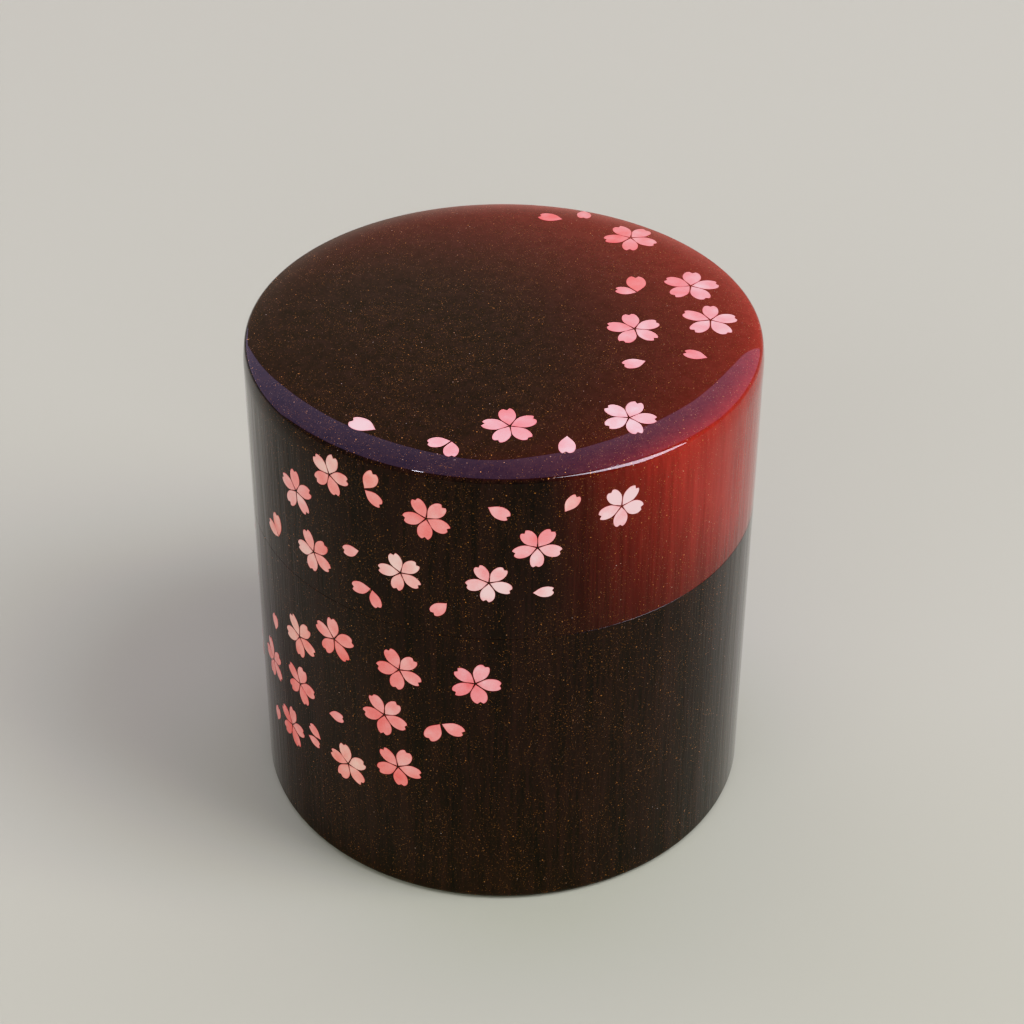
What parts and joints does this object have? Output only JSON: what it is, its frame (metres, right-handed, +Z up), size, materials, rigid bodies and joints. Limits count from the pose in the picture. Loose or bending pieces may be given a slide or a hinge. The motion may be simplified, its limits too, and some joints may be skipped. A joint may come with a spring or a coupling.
{
  "type": "tea caddy",
  "caption": "Straight-sided lacquered tea caddy with a crowned slip-over outer lid, a knobbed plug lid inside it and scattered cherry blossoms.",
  "frame": {"origin": "middle of the base, in the plane that the caddy stands on", "axes": "+Z up along the turned axis, -Y towards the front, where the blossoms are"},
  "size_m": [0.082, 0.082, 0.086],
  "materials": {
    "dark_lacquer": "gloss",
    "red_shaded_lacquer": "gloss",
    "liner_lacquer": "satin",
    "inner_lid_lacquer": "satin",
    "blossom_print": "gloss"
  },
  "bodies": {
    "jar": {"jar_body": "dark_lacquer", "inner_canister": "liner_lacquer"},
    "inner_lid": {"inner_lid": "inner_lid_lacquer", "inner_lid_knob": "inner_lid_lacquer"},
    "outer_lid": {"outer_lid": "red_shaded_lacquer"}
  },
  "joints": [
    {"name": "inner_lid_lift", "type": "slide", "parent": "jar", "child": "inner_lid", "axis": [0, 0, 1], "range_m": [0, 0.05]},
    {"name": "outer_lid_lift", "type": "slide", "parent": "inner_lid", "child": "outer_lid", "axis": [0, 0, 1], "range_m": [0, 0.06]}
  ]
}
